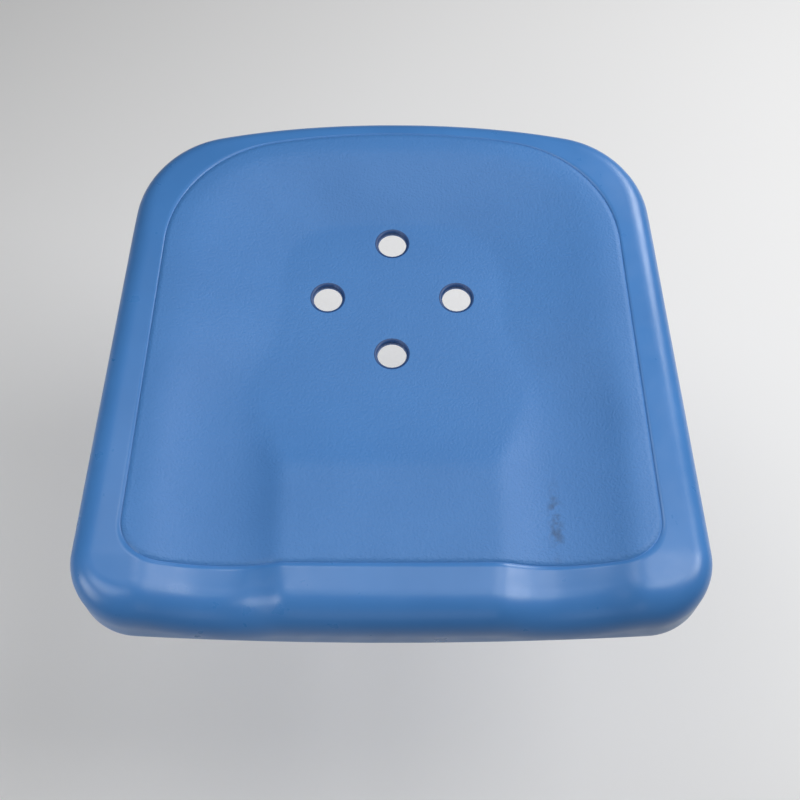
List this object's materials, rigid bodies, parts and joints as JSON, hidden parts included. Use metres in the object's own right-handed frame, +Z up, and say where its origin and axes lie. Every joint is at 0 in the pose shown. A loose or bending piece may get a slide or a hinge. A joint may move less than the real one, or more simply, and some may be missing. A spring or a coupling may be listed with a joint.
{
  "type": "shower chair seat",
  "caption": "Contoured double-walled shower chair seat with drain holes, two thigh hollows, a pommel, a rolled rim and snap clips underneath for a tube frame.",
  "frame": {"origin": "on the plane that the lower edges of the four rail clips touch, below the middle of the seat's overall plan size", "axes": "+X across the seat, to the right as seen from the front; +Y to the back of the chair; +Z up"},
  "size_m": [0.4064, 0.387, 0.0749],
  "materials": {
    "seat_blue": "fine-grained sitting area inside a smoother satin rim",
    "underside_blue": "matte",
    "clip_nylon": "smooth black nylon",
    "screw_steel": "stainless",
    "insert_brass": "machined",
    "bumper_rubber": "matte",
    "plug_plastic": "smooth"
  },
  "bodies": {
    "root": {"seat_top_shell": "seat_blue", "seat_bottom_shell": "underside_blue", "tube_clip_front_left": "clip_nylon", "clip_screw_front_left": "screw_steel", "threaded_insert_front_left": "insert_brass", "rubber_bumper_front_left": "bumper_rubber", "tube_clip_front_right": "clip_nylon", "clip_screw_front_right": "screw_steel", "threaded_insert_front_right": "insert_brass", "rubber_bumper_front_right": "bumper_rubber", "tube_clip_rear_left": "clip_nylon", "clip_screw_rear_left": "screw_steel", "threaded_insert_rear_left": "insert_brass", "rubber_bumper_rear_left": "bumper_rubber", "tube_clip_rear_right": "clip_nylon", "clip_screw_rear_right": "screw_steel", "threaded_insert_rear_right": "insert_brass", "rubber_bumper_rear_right": "bumper_rubber", "blow_hole_plug_left": "plug_plastic", "blow_hole_plug_right": "plug_plastic"}
  },
  "joints": []
}
